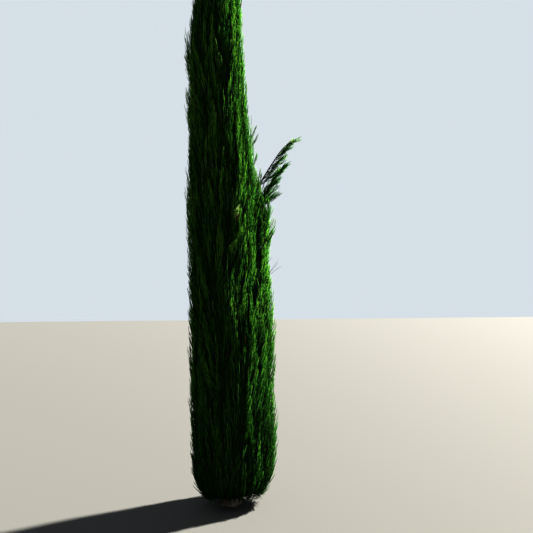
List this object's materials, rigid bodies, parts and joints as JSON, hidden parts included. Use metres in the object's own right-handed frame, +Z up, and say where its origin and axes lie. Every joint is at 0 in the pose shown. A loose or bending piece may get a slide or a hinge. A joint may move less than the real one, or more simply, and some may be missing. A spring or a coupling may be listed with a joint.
{
  "type": "italian cypress tree",
  "caption": "Slim italian cypress: a leaning trunk inside a tall column of steep dark green foliage plumes, with two thin boughs that lean out on one side.",
  "frame": {"origin": "centre of the flat cut under the trunk, at ground level", "axes": "+Z up along the trunk, +X towards the side where the two thin boughs lean out, which is to the right as the picture shows the tree"},
  "size_m": [1.3255, 0.9178, 7.1991],
  "materials": {
    "bark": "grey-brown bark with long shallow furrows, matt",
    "foliage": "fine scale-leaved sprays, near-black green in depth and fresh green at the tips, matt"
  },
  "bodies": {
    "root": {"trunk": "bark", "upper_bough": "bark", "lower_bough": "bark", "leader_plume": "foliage", "lower_bough_plume": "foliage", "tier_1_plume_1": "foliage", "tier_1_plume_2": "foliage", "tier_1_plume_3": "foliage", "tier_1_plume_4": "foliage", "tier_2_plume_1": "foliage", "tier_2_plume_2": "foliage", "tier_2_plume_3": "foliage", "tier_2_plume_4": "foliage", "tier_3_plume_1": "foliage", "tier_3_plume_2": "foliage", "tier_3_plume_3": "foliage", "tier_3_plume_4": "foliage", "tier_4_plume_1": "foliage", "tier_4_plume_2": "foliage", "tier_4_plume_3": "foliage", "tier_4_plume_4": "foliage", "tier_5_plume_1": "foliage", "tier_5_plume_2": "foliage", "tier_5_plume_3": "foliage", "tier_5_plume_4": "foliage", "tier_6_plume_1": "foliage", "tier_6_plume_2": "foliage", "tier_6_plume_3": "foliage", "tier_6_plume_4": "foliage", "tier_7_plume_1": "foliage", "tier_7_plume_2": "foliage", "tier_7_plume_3": "foliage", "tier_8_plume_1": "foliage", "tier_8_plume_2": "foliage", "tier_8_plume_3": "foliage", "upper_bough_plume": "foliage"}
  },
  "joints": []
}
